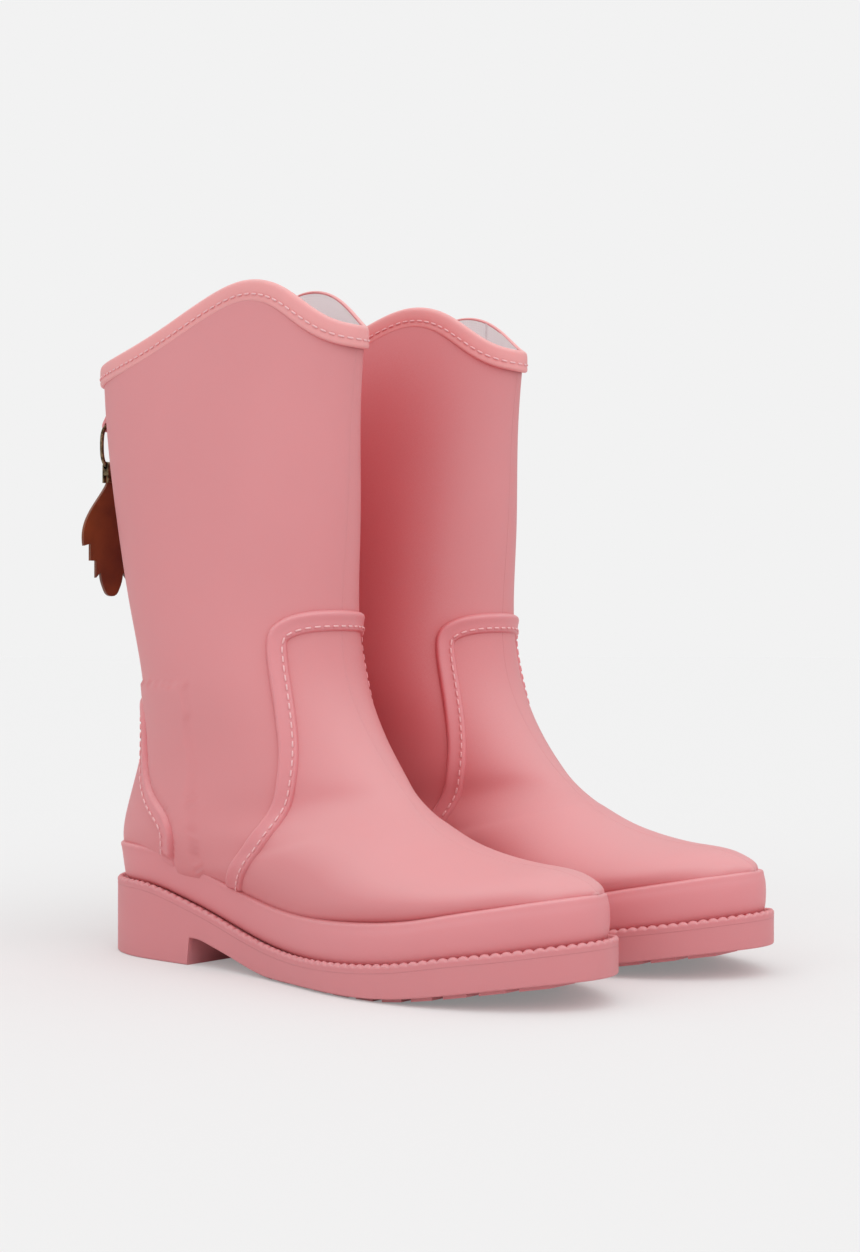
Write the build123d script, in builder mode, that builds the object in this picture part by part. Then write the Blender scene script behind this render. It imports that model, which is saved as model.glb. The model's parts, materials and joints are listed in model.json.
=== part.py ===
from build123d import *

import math
import os

# A pair of wellington boots with a scalloped western topline, a welted rubber sole and a leather feather
# charm on the back of each shaft. Millimetres, +Z up, standing on Z = 0, toes towards -Y, mirrored about
# the YZ plane: the right boot is on -X. Along a boot, s runs forward from the back of the heel to the toe,
# w runs outward from its middle plane to the lateral side, and z is the height above the ground.

# Driving dimensions of one boot
foot_length = 275.0  # outsole, heel to toe
pattern_length = 275.0  # the foot length that the profiles and stations below are drawn for
heel_height = 11.6
heel_breast = 72.0  # from the back of the heel to the breast
breast_slant = 1.5
waist_end = 122.0  # where the arch comes down to the tread
tread_depth = 1.8
welt_thickness = 5.0
welt_width = 8.0
foxing_height = 16.0
foxing_setback = 4.5  # the foxing stands this far inside the edge of the welt
foxing_depth = 12.0
upper_wall = 2.2
lining_wall = 1.5
board_thickness = 2.5
footbed_thickness = 5.0
bond_gap = 0.3  # the cement line between two layers
binding_width = 9.0
binding_proud = 1.7
binding_cap = 1.5
binding_inside = 6.0
trim_width = 8.5
trim_proud = 2.4
counter_proud = 1.2
floor_rise = 3.5  # the cavity's floor above the welt line

# The pair on the floor
boot_spacing = 97.0  # between the middle planes
left_step = 7.2  # the left boot stands this far ahead
left_turn = 1.95  # and toes out by these degrees
widest_ahead = 190.0  # where a toed-out boot reaches furthest to its side

# Tab, ring, clip and feather on the back of the shaft
ring_height = 247.0  # the ring's upper bar above the ground
ring_setback = 19.5  # the ring's plane behind the back of the heel
ring_wire = 1.0  # radius of the wire
ring_width = 13.0
ring_drop = 19.5
ring_corner = 2.6
bar_clearance = 0.45
tab_width = 6.0
tab_wall = 1.6
tab_rise = 8.5
clip_width = 7.0
clip_height = 8.0
clip_depth = 4.4
feather_length = 58.0
feather_width = 34.0
feather_thickness = 1.6
feather_fit = 0.2
clip_grip = 3.5  # depth of the clip's slot
stem_width = 5.2
tab_root = 8.0
feather_barbs = [(0.59, 0.77), (0.73, 0.57)]  # each barb's tip along the feather, and its notch's half width

# Under the sole
tread_start = 112.0
tread_end = 262.0
tread_pitch = 13.5
tread_bar = 9.0
tread_channel = 5.0
tread_margin = 2.0
groove_width = 4.0
groove_margin = 6.0
shank_start = 48.0
shank_end = 132.0
shank_width = 12.0
shank_thickness = 1.5
shank_depth = 2.0  # the shank's top below the welt line

# The pair is centred on the origin, from the back of the tab to the toe of the left boot.
tab_overhang = ring_setback + ring_wire + bar_clearance + tab_wall
heel_y = (foot_length + left_step - tab_overhang) / 2
pair_shift = widest_ahead * math.sin(math.radians(left_turn)) / 2
right_x = -boot_spacing / 2 - pair_shift
left_x = boot_spacing / 2 - pair_shift

block_reach = 130.0  # half length of the blocks that cut across a boot
block_end = 320.0  # and how far ahead of the heel they run
block_depth = 20.0  # below the ground
sole_block_height = 60.0
toe_closing = 4.0  # a layer's form ends at the toe before its section is narrower than this
top_height = 312.0  # the shaft's form runs above the highest point of the topline
edge_points = 40  # points of an outline that is drawn inside another

# Stations of the boot's form, from the mouth of the shaft round the heel to the toe. Each is a section
# plane through a front point and a back point of the profile: front s, front z, back s, back z, the half
# width, and how far the section's middle lies towards the lateral side.
stations = [
    (150.5, top_height, -23.0, top_height, 19.0, 0.0),
    (145.5, 280.0, -20.0, 280.0, 24.5, 0.0),
    (141.0, 247.0, -15.0, 247.0, 30.0, 0.0),
    (138.0, 195.0, -2.0, 195.0, 36.0, 0.0),
    (135.0, 156.0, 10.5, 156.0, 39.0, 0.0),
    (139.5, 122.0, 21.5, 119.0, 41.0, 0.0),
    (153.5, 97.5, 14.5, 91.0, 38.5, 0.0),
    (167.0, 83.0, 5.5, 67.5, 37.0, 0.0),
    (173.0, 77.5, 6.5, 49.0, 36.5, 0.5),
    (178.5, 72.0, 14.0, 35.0, 37.0, 1.0),
    (183.5, 66.5, 60.0, 31.0, 38.5, 1.5),
    (190.0, 61.5, 116.0, 16.5, 40.5, 2.0),
    (205.0, 56.0, 163.0, 14.0, 42.0, 1.0),
    (233.0, 53.0, 205.0, 16.0, 38.5, -1.0),
    (251.0, 53.0, 230.0, 20.0, 30.0, -2.0),
    (264.0, 49.5, 249.0, 26.0, 18.0, -2.5),
    (268.5, 45.5, 261.0, 33.0, 8.0, -2.5),
]

# Side profiles as (s, z), each run past both ends of the boot
topline = [(-40, 274), (-20, 274.5), (12, 277.5), (45, 286), (72, 296.5), (95, 302), (113, 298),
           (129, 287), (141, 279.5), (152, 277), (180, 276), (290, 276)]
welt_line = [(-12, 34), (30, 33.6), (60, 29.5), (84, 23.5), (108, 17.2), (134, 13.6), (171, 13.4),
             (211, 16.5), (250, 23.4), (290, 29.5)]
vamp_edge = [(100, 34), (113, 49), (122.5, 63), (128, 76), (128.5, 90), (125.5, 107), (121, 124),
             (118, 139), (118.5, 147), (124.5, 152.8), (134, 155.5), (152, 155.5)]
counter_edge = [(0, 120), (26, 119), (38, 111), (42.5, 95), (46, 81), (54, 72.5), (63.5, 66.5),
                (68.5, 59), (70.5, 47), (71, 36)]
vamp_close = [(block_end, 155.5), (block_end, 0), (100, 0)]
counter_close = [(71, 0), (-60, 0), (-60, 120)]

# The arch of the waist, as shares of its run and of its drop, and the rise of the toe above the tread
waist_arch = [(0, 0), (0.22, 0.16), (0.46, 0.57), (0.71, 0.86), (1, 1)]
toe_spring = [(178, 0), (211, 1.8), (245, 6.8), (290, 13.4)]

# Plan outline of the outsole as (s, w)
lateral_edge = [(3.5, 13), (11, 23.5), (27, 31.5), (55, 34), (96, 34), (137, 40.5), (179, 48.5),
                (214, 46), (242, 36.5), (261, 24), (271, 13)]
medial_edge = [(3.5, -13), (11, -22), (27, -30), (55, -32), (96, -30), (137, -36), (170, -44),
               (203, -47), (236, -40.5), (258, -28), (271, -13.5)]

os.makedirs("parts", exist_ok=True)


def along(s):
    """A distance ahead of the heel, as drawn in the profiles, at this boot's own length."""
    return s * foot_length / pattern_length


def side(s, z):
    """A point of a side profile on Plane.YZ."""
    return (heel_y - along(s), z)


def plan(s, w):
    """A point of the right boot's plan on Plane.XY."""
    return (right_x - w, heel_y - along(s))


def slant(points, index, chord):
    """How much longer an inset is along a station's chord than across the profile through these points."""
    run = points[min(index + 1, len(points) - 1)] - points[max(index - 1, 0)]
    crossing = run.normalized().cross(chord.normalized()).length
    return 1 / max(crossing, 0.5)


def boot_form(inset):
    """The boot's whole form, inset from the outer face of the upper."""
    fronts = [Vector(0, *side(front_s, front_z)) for front_s, front_z, *_ in stations]
    backs = [Vector(0, *side(back_s, back_z)) for _, _, back_s, back_z, *_ in stations]
    with BuildPart() as form:
        for index, station in enumerate(stations):
            chord = fronts[index] - backs[index]
            front = chord.length / 2 - inset * slant(fronts, index, chord)
            back = chord.length / 2 - inset * slant(backs, index, chord)
            half_width = station[4] - inset
            if min(front + back, 2 * half_width) < toe_closing:
                break
            middle = (fronts[index] + backs[index]) / 2 + Vector(right_x - station[5], 0, 0)
            with BuildSketch(Plane(origin=middle, x_dir=chord, z_dir=chord.cross(Vector(1, 0, 0)))):
                with BuildLine():
                    for quarter in range(4):
                        EllipticalCenterArc(((front - back) / 2, 0), (front + back) / 2,
                                            half_width, start_angle=90 * quarter, arc_size=90)
                make_face()
        loft()
    return form.part


def moved_inward(points, inset, periodic=False):
    """Points of the spline through these ones, moved to its left by the inset."""
    curve = Spline(*points, periodic=periodic, mode=Mode.PRIVATE)
    shares = [k / edge_points for k in range(edge_points if periodic else edge_points + 1)]
    return [curve @ share + Vector(0, 0, inset).cross(curve % share) for share in shares]


def below(profile, raised=0.0):
    """Everything under a side profile, across the boot."""
    with BuildPart() as block:
        with BuildSketch(Plane.YZ):
            with BuildLine():
                points = [side(s, z + raised) for s, z in profile]
                Spline(*points)
                Polyline(points[-1], (points[-1][0], -block_depth), (points[0][0], -block_depth), points[0])
            make_face()
        extrude(amount=block_reach, both=True)
    return block.part


def sole_block(inset=0.0):
    """The outsole's outline, inset, from under the ground to above the foxing."""
    outline = [(0, 0), *lateral_edge, (pattern_length, 0), *reversed(medial_edge)]
    points = [plan(s, w) for s, w in outline]
    with BuildPart() as block:
        with BuildSketch(Plane.XY.offset(-block_depth)):
            with BuildLine():
                if inset:
                    points = moved_inward(points, inset, periodic=True)
                Spline(*points, periodic=True)
            make_face()
        extrude(amount=block_depth + sole_block_height)
    return block.part


def trim_region(edge, close, inset=0.0):
    """The block that a trim's edge encloses with the lines that close it, inset from that edge."""
    points = [side(s, z) for s, z in edge]
    with BuildPart() as block:
        with BuildSketch(Plane.YZ):
            with BuildLine():
                if inset:
                    points = moved_inward(points, inset)
                Spline(*points)
                Polyline(points[-1], *[side(s, z) for s, z in close], points[0])
            make_face()
        extrude(amount=block_reach, both=True)
    return block.part


def shank_bar(margin, headroom):
    """The shank, or its pocket with a margin and headroom above it."""
    with BuildPart() as bar:
        with BuildSketch(Plane.XY):
            with Locations(plan((shank_start + shank_end) / 2, 0)):
                Rectangle(shank_width + 2 * margin, along(shank_end - shank_start) + 2 * margin)
        extrude(amount=sole_block_height)
        add(below(welt_line, headroom - shank_depth), mode=Mode.INTERSECT)
        add(below(welt_line, -shank_depth - shank_thickness - margin), mode=Mode.SUBTRACT)
    return bar.part


def write_pair(name, right):
    """Writes a right boot's piece and its mirror image on the left boot."""
    right.label = "right_" + name
    export_step(right, "parts/right_" + name + ".step")
    heel = Location((left_x, heel_y - left_step, 0))
    left = mirror(right, about=Plane.YZ).moved(Location((-2 * pair_shift, -left_step, 0)))
    left = left.moved(heel * Location((0, 0, 0), (0, 0, left_turn)) * heel.inverse())
    left.label = "left_" + name
    export_step(left, "parts/left_" + name + ".step")


# Faces of the layers, inset from the outer face of the upper
lining_face = upper_wall + bond_gap
cavity_face = lining_face + lining_wall
binding_face = cavity_face + bond_gap
inner_face = binding_face + binding_cap

outer_form = boot_form(0)
seat_form = boot_form(-bond_gap)
trim_form = boot_form(-trim_proud)
binding_form = boot_form(-binding_proud)
wall_form = boot_form(upper_wall)
lining_form = boot_form(lining_face)
cavity_form = boot_form(cavity_face)

under_topline = below(topline)
above_foxing = below(welt_line, foxing_height + bond_gap)

# Heights of the insole's layers above the welt line
board_top = floor_rise + board_thickness
lining_floor = board_top + bond_gap
footbed_floor = lining_floor + lining_wall + bond_gap

# The upper is one rubber shell, foot and shaft, with a flat floor inside for the insole board.
with BuildPart() as cavity:
    add(wall_form)
    add(below(welt_line, floor_rise), mode=Mode.SUBTRACT)
with BuildPart() as upper_shell:
    add(outer_form)
    add(under_topline, mode=Mode.INTERSECT)
    add(cavity.part, mode=Mode.SUBTRACT)
write_pair("upper_shell", upper_shell.part)

# The stiff board that the upper is lasted on covers the cavity's floor.
with BuildPart() as insole_board:
    add(lining_form)
    add(below(welt_line, board_top), mode=Mode.INTERSECT)
    add(below(welt_line, floor_rise + bond_gap), mode=Mode.SUBTRACT)
write_pair("insole_board", insole_board.part)

# The knitted lining is a sock bonded inside the upper, down to the board.
with BuildPart() as lining_hollow:
    add(cavity_form)
    add(below(welt_line, lining_floor + lining_wall), mode=Mode.SUBTRACT)
with BuildPart() as lining:
    add(lining_form)
    add(under_topline, mode=Mode.INTERSECT)
    add(below(welt_line, lining_floor), mode=Mode.SUBTRACT)
    add(lining_hollow.part, mode=Mode.SUBTRACT)
write_pair("lining", lining.part)

# The loose footbed lies on the lining's sole.
with BuildPart() as footbed:
    add(boot_form(binding_face))
    add(below(welt_line, footbed_floor + footbed_thickness), mode=Mode.INTERSECT)
    add(below(welt_line, footbed_floor), mode=Mode.SUBTRACT)
write_pair("footbed", footbed.part)

# The binding is folded over the topline: outside, over both edges and a little way down inside.
with BuildPart() as covered_edge:
    add(seat_form)
    add(below(topline, bond_gap), mode=Mode.INTERSECT)
    add(boot_form(binding_face), mode=Mode.SUBTRACT)
with BuildPart() as top_binding:
    add(binding_form)
    add(below(topline, binding_cap), mode=Mode.INTERSECT)
    add(below(topline, -binding_width), mode=Mode.SUBTRACT)
    add(boot_form(inner_face), mode=Mode.SUBTRACT)
    add(covered_edge.part, mode=Mode.SUBTRACT)
with BuildPart() as binding_hem:
    add(boot_form(binding_face - bond_gap / 2))
    add(below(topline, -binding_inside), mode=Mode.INTERSECT)
with BuildPart() as hemmed_binding:
    add(top_binding.part)
    add(binding_hem.part, mode=Mode.SUBTRACT)
write_pair("top_binding", hemmed_binding.part)

# Raised trims, cemented to the upper and stopped above the foxing.
with BuildPart() as trim_layer:
    add(trim_form)
    add(seat_form, mode=Mode.SUBTRACT)
    add(above_foxing, mode=Mode.SUBTRACT)
with BuildPart() as vamp_trim:
    add(trim_layer.part)
    add(trim_region(vamp_edge, vamp_close), mode=Mode.INTERSECT)
    add(trim_region(vamp_edge, vamp_close, trim_width), mode=Mode.SUBTRACT)
write_pair("vamp_trim", vamp_trim.part)

# The counter stiffens the heel: a thin panel with a proud border.
with BuildPart() as counter_panel:
    add(boot_form(-counter_proud))
    add(seat_form, mode=Mode.SUBTRACT)
    add(above_foxing, mode=Mode.SUBTRACT)
    add(trim_region(counter_edge, counter_close), mode=Mode.INTERSECT)
with BuildPart() as heel_counter:
    add(trim_layer.part)
    add(trim_region(counter_edge, counter_close), mode=Mode.INTERSECT)
    add(trim_region(counter_edge, counter_close, trim_width), mode=Mode.SUBTRACT)
    add(counter_panel.part)
write_pair("heel_counter", heel_counter.part)

# The foxing is a rubber band round the foot, standing on the welt.
with BuildPart() as foxing_band:
    add(sole_block(foxing_setback))
    add(below(welt_line, foxing_height), mode=Mode.INTERSECT)
    add(sole_block(foxing_setback + foxing_depth), mode=Mode.SUBTRACT)
    add(below(welt_line, bond_gap), mode=Mode.SUBTRACT)
    add(seat_form, mode=Mode.SUBTRACT)
write_pair("foxing_band", foxing_band.part)

# The welt is a strip round the edge of the outsole, under the foxing.
with BuildPart() as welt:
    add(sole_block())
    add(below(welt_line), mode=Mode.INTERSECT)
    add(sole_block(welt_width), mode=Mode.SUBTRACT)
    add(below(welt_line, -welt_thickness), mode=Mode.SUBTRACT)
write_pair("welt", welt.part)

# The outsole's underside: flat heel, slanted breast, arched waist, flat tread and toe spring.
with BuildPart() as ground_profile:
    with BuildSketch(Plane.YZ):
        with BuildLine():
            breast_top = heel_breast + breast_slant
            heel = Polyline(side(-block_depth, 0), side(heel_breast, 0), side(breast_top, heel_height))
            waist = Spline(*[side(breast_top + run * (waist_end - breast_top),
                                  heel_height - drop * (heel_height - tread_depth))
                             for run, drop in waist_arch])
            rise = [side(s, tread_depth + lift) for s, lift in toe_spring]
            Line(waist @ 1, rise[0])
            spring = Spline(*rise, tangents=[(-1, 0), (-1, 0.15)])
            Polyline(spring @ 1, (rise[-1][0], sole_block_height),
                     side(-block_depth, sole_block_height), heel @ 0)
        make_face()
    extrude(amount=block_reach, both=True)

# Tread bars under the forefoot, parted by a channel along the middle, and grooves in the heel.
tread_length = along(tread_end - tread_start)
bar_count = int(tread_length / tread_pitch) + 1
first_bar = plan(tread_start, 0)
bar_places = [(first_bar[0], first_bar[1] - k * tread_pitch) for k in range(bar_count)]
with BuildPart() as tread_bars:
    with BuildSketch(Plane.XY.offset(-block_depth)):
        with Locations(*bar_places):
            Rectangle(block_reach, tread_bar)
        with Locations(plan((tread_start + tread_end) / 2, 0)):
            Rectangle(tread_channel, tread_length + 2 * tread_pitch, mode=Mode.SUBTRACT)
    extrude(amount=block_depth + sole_block_height)
    add(sole_block(tread_margin), mode=Mode.INTERSECT)
    add(ground_profile.part.moved(Location((0, 0, -tread_depth))), mode=Mode.INTERSECT)
groove_places = [plan(heel_breast * share, 0) for share in (0.28, 0.5, 0.72)]
with BuildPart() as heel_grooves:
    with BuildSketch(Plane.XY.offset(-block_depth)):
        with Locations(*groove_places):
            Rectangle(block_reach, groove_width)
    extrude(amount=block_depth + tread_depth)
    add(sole_block(groove_margin), mode=Mode.INTERSECT)

# The outsole carries the heel block and the tread, and rises inside the welt and the foxing to the upper.
with BuildPart() as platform:
    add(sole_block(foxing_setback + foxing_depth + bond_gap))
    add(below(welt_line, foxing_height / 2), mode=Mode.INTERSECT)
with BuildPart() as step:
    add(sole_block(welt_width + bond_gap))
    add(below(welt_line), mode=Mode.INTERSECT)
    add(platform.part)
    add(ground_profile.part, mode=Mode.INTERSECT)
with BuildPart() as outsole:
    add(ground_profile.part)
    add(tread_bars.part)
    add(sole_block(), mode=Mode.INTERSECT)
    add(below(welt_line, -welt_thickness - bond_gap), mode=Mode.INTERSECT)
    add(heel_grooves.part, mode=Mode.SUBTRACT)
    add(step.part)
    add(seat_form, mode=Mode.SUBTRACT)
    add(shank_bar(bond_gap, foxing_height), mode=Mode.SUBTRACT)
write_pair("outsole", outsole.part)

# The steel shank lies in a pocket in the outsole's waist, under the upper.
write_pair("shank", shank_bar(0, 0))

# The tab is a loop of rubber that stands off the back of the shaft and carries the ring.
ring_axis = (heel_y + ring_setback, ring_height)
back_plane = Plane(origin=(right_x, 0, 0), x_dir=(0, 1, 0), z_dir=(1, 0, 0))
with BuildPart() as hang_tab:
    with BuildSketch(back_plane):
        with Locations(ring_axis):
            Circle(ring_wire + bar_clearance + tab_wall)
        with Locations((ring_axis[0] - tab_root, ring_axis[1] + tab_rise)):
            Rectangle(tab_root, tab_root / 2)
        make_hull()
        with Locations(ring_axis):
            Circle(ring_wire + bar_clearance, mode=Mode.SUBTRACT)
    extrude(amount=tab_width / 2, both=True)
    add(seat_form, mode=Mode.SUBTRACT)
write_pair("hang_tab", hang_tab.part)

# The ring is bent wire with straight bars at the top and the bottom.
ring_plane = Plane(origin=(right_x, ring_axis[0], ring_height), x_dir=(1, 0, 0), z_dir=(0, -1, 0))
with BuildPart() as charm_ring:
    with BuildLine(ring_plane):
        loop = FilletPolyline((ring_width / 2, 0), (ring_width / 2, -ring_drop),
                              (-ring_width / 2, -ring_drop), (-ring_width / 2, 0),
                              radius=ring_corner, close=True)
    with BuildSketch(Plane(origin=loop @ 0, z_dir=loop % 0)):
        Circle(ring_wire)
    sweep()
write_pair("charm_ring", charm_ring.part)

# The clip is folded over the ring's lower bar and pinched on the feather's stem.
clip_bar = (ring_axis[0], ring_height - ring_drop)
with BuildPart() as charm_clip:
    with BuildSketch(back_plane):
        with Locations(clip_bar):
            Circle(clip_depth / 2)
        with Locations((clip_bar[0], clip_bar[1] - clip_height / 2)):
            Rectangle(clip_depth, clip_height)
        with Locations(clip_bar):
            Circle(ring_wire + bar_clearance, mode=Mode.SUBTRACT)
        with Locations((clip_bar[0], clip_bar[1] - clip_height)):
            Rectangle(feather_thickness + 2 * feather_fit, 2 * clip_grip, mode=Mode.SUBTRACT)
    extrude(amount=clip_width / 2, both=True)
write_pair("charm_clip", charm_clip.part)

# The feather is cut from one piece of leather: a stem, a full vane with three barbs a side, a round tip.
vane = feather_width / 2
stem_top = clip_bar[1] - clip_height + clip_grip - feather_fit
feather_plane = Plane(origin=(right_x, ring_axis[0], stem_top), x_dir=(1, 0, 0), z_dir=(0, -1, 0))
with BuildPart() as feather_charm:
    with BuildSketch(feather_plane):
        with BuildLine():
            edge = Line((0, 0), (stem_width / 2, 0))
            edge = Line(edge @ 1, (stem_width / 2, -clip_grip))
            edge = Spline(edge @ 1, (0.5 * vane, -0.2 * feather_length), (0.88 * vane, -0.36 * feather_length),
                          (vane, -0.59 * feather_length))
            for tip, notch in feather_barbs:
                edge = Line(edge @ 1, (notch * vane, -(tip - 0.02) * feather_length))
                edge = Line(edge @ 1, (notch * vane, -(tip + 0.12) * feather_length))
            edge = Line(edge @ 1, (0.4 * vane, -0.8 * feather_length))
            Spline(edge @ 1, (0.27 * vane, -0.94 * feather_length), (0, -feather_length),
                   tangents=[(0, -1), (-1, 0)])
            mirror(about=Plane.YZ)
        make_face()
    extrude(amount=feather_thickness / 2, both=True)
write_pair("feather_charm", feather_charm.part)
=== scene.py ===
import json
import math

import bpy
import numpy as np
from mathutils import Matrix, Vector
from mathutils.bvhtree import BVHTree
from mathutils.interpolate import poly_3d_calc


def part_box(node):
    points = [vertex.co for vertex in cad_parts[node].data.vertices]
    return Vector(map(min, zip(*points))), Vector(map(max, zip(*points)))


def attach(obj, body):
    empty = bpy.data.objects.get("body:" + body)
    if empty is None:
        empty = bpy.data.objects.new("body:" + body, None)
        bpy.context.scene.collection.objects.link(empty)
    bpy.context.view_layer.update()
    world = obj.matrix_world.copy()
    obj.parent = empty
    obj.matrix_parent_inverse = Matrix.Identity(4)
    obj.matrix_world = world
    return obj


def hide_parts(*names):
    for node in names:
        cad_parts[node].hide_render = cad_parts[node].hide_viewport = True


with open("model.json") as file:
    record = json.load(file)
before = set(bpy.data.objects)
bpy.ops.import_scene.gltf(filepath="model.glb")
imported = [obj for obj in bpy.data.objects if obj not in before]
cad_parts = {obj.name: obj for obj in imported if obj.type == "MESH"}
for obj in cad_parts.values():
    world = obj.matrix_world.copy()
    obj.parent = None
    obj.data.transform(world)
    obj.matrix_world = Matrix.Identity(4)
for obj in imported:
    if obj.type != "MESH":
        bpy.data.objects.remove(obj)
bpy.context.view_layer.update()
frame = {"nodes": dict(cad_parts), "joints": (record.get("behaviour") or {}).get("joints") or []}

mm = 0.001
print("frame loaded with", len(frame["nodes"]), "nodes")


# where each boot stands: s runs from the heel to the toe, w out to the lateral side
def jointNamed(name):
    return [j for j in frame["joints"] if j["name"] == name][0]


def standingBoot(side):
    swing = jointNamed(side + "_ring_swing")
    across = Vector(swing["axis"]).normalized()
    forward = Vector((across.y, -across.x, 0))
    setback = jointNamed("right_ring_swing")["pos_m"][1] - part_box("right_outsole")[1].y
    ringAt = Vector(swing["pos_m"])
    return dict(
        side=side,
        forward=forward,
        lateral=-across if side == "right" else across,
        heel=Vector((ringAt.x, ringAt.y, 0)) + forward * setback,
        setback=setback,
        ringZ=ringAt.z,
    )


toeLift = dict(
    right=0,               # mm; the two toes don't turn up quite alike
    left=1.0,
    start=165,             # the s where the lift begins
    run=60,                # and how far on it's whole
)


def softStep(x):
    x = max(0, min(1, x))
    return x * x * (3 - 2 * x)


def place(boot, s, w, z):
    # a point of the boot in mm, put where that boot stands
    z += toeLift[boot["side"]] * softStep((s - toeLift["start"]) / toeLift["run"])
    return boot["heel"] + (boot["forward"] * s + boot["lateral"] * w + Vector((0, 0, z))) * mm


boots = [standingBoot("right"), standingBoot("left")]


# mesh helpers
def meshPiece(boot, name, points, faces, material, slot, replaced=(), rides="boot"):
    # the points are in the boot's own s, w, z
    body = boot["side"] + "_" + rides
    replaces = [boot["side"] + "_" + node for node in replaced]
    mesh = bpy.data.meshes.new(boot["side"] + name)
    mesh.from_pydata([tuple(place(boot, *p)) for p in points], [], faces)
    mesh.update()
    mesh.validate()
    piece = bpy.data.objects.new(boot["side"] + name, mesh)
    bpy.context.collection.objects.link(piece)
    mesh.materials.append(material)
    mesh.polygons.foreach_set("use_smooth", [True] * len(mesh.polygons))
    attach(piece, body)
    if replaces:
        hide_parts(*replaces)
    return piece


def rowsPiece(boot, name, rows, material, slot, flip=False, closed=False, **extra):
    mirrored = (boot["side"] == "right") != flip
    faces = gridFaces(len(rows), len(rows[0]), closeRows=closed, flip=mirrored)
    meshPiece(boot, name, [p for row in rows for p in row], faces, material, slot, **extra)


def gridFaces(rows, columns, closeRows=False, closeColumns=False, flip=False):
    faces = []
    for r in range(rows if closeRows else rows - 1):
        for c in range(columns if closeColumns else columns - 1):
            a = r * columns + c
            b = r * columns + (c + 1) % columns
            d = ((r + 1) % rows) * columns + c
            e = ((r + 1) % rows) * columns + (c + 1) % columns
            faces.append((a, d, e, b) if flip else (a, b, e, d))
    return faces


def naturalSpline(knots, values, at):
    # smooth curve through the values, twice differentiable
    x = np.asarray(knots, float)
    y = np.asarray(values, float)
    n = len(x)
    h = np.diff(x)
    system = np.zeros((n, n))
    right = np.zeros((n,) + y.shape[1:])
    system[0, 0] = system[-1, -1] = 1
    for i in range(1, n - 1):
        system[i, i - 1] = h[i - 1]
        system[i, i] = 2 * (h[i - 1] + h[i])
        system[i, i + 1] = h[i]
        right[i] = 6 * ((y[i + 1] - y[i]) / h[i] - (y[i] - y[i - 1]) / h[i - 1])
    bend = np.linalg.solve(system, right)
    at = np.asarray(at, float)
    i = np.clip(np.searchsorted(x, at) - 1, 0, n - 2)
    hi = h[i]
    a = (x[i + 1] - at) / hi
    b = (at - x[i]) / hi
    if y.ndim > 1:
        a, b, hi = a[:, None], b[:, None], hi[:, None]
    curve = a * y[i] + b * y[i + 1]
    return curve + ((a ** 3 - a) * bend[i] + (b ** 3 - b) * bend[i + 1]) * hi ** 2 / 6


def splineThrough(points, count):
    points = np.asarray(points, float)
    steps = np.linalg.norm(np.diff(points, axis=0), axis=1)
    knots = np.concatenate([[0], np.cumsum(steps)])
    return naturalSpline(knots, points, np.linspace(0, knots[-1], count))


def evenly(points, step, closed=False):
    # the same line with evenly spaced points, a step apart
    points = np.asarray([tuple(p) for p in points], float)
    if closed:
        points = np.vstack([points, points[:1]])
    along = np.concatenate([[0], np.cumsum(np.linalg.norm(np.diff(points, axis=0), axis=1))])
    fewest = 4
    count = max(int(round(along[-1] / step)), fewest)
    at = np.linspace(0, along[-1], count + 1)
    if closed:
        at = at[:-1]
    return np.column_stack([np.interp(at, along, points[:, k]) for k in range(points.shape[1])])


def fullTurn(count):
    return [2 * math.pi * k / count for k in range(count)]


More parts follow.
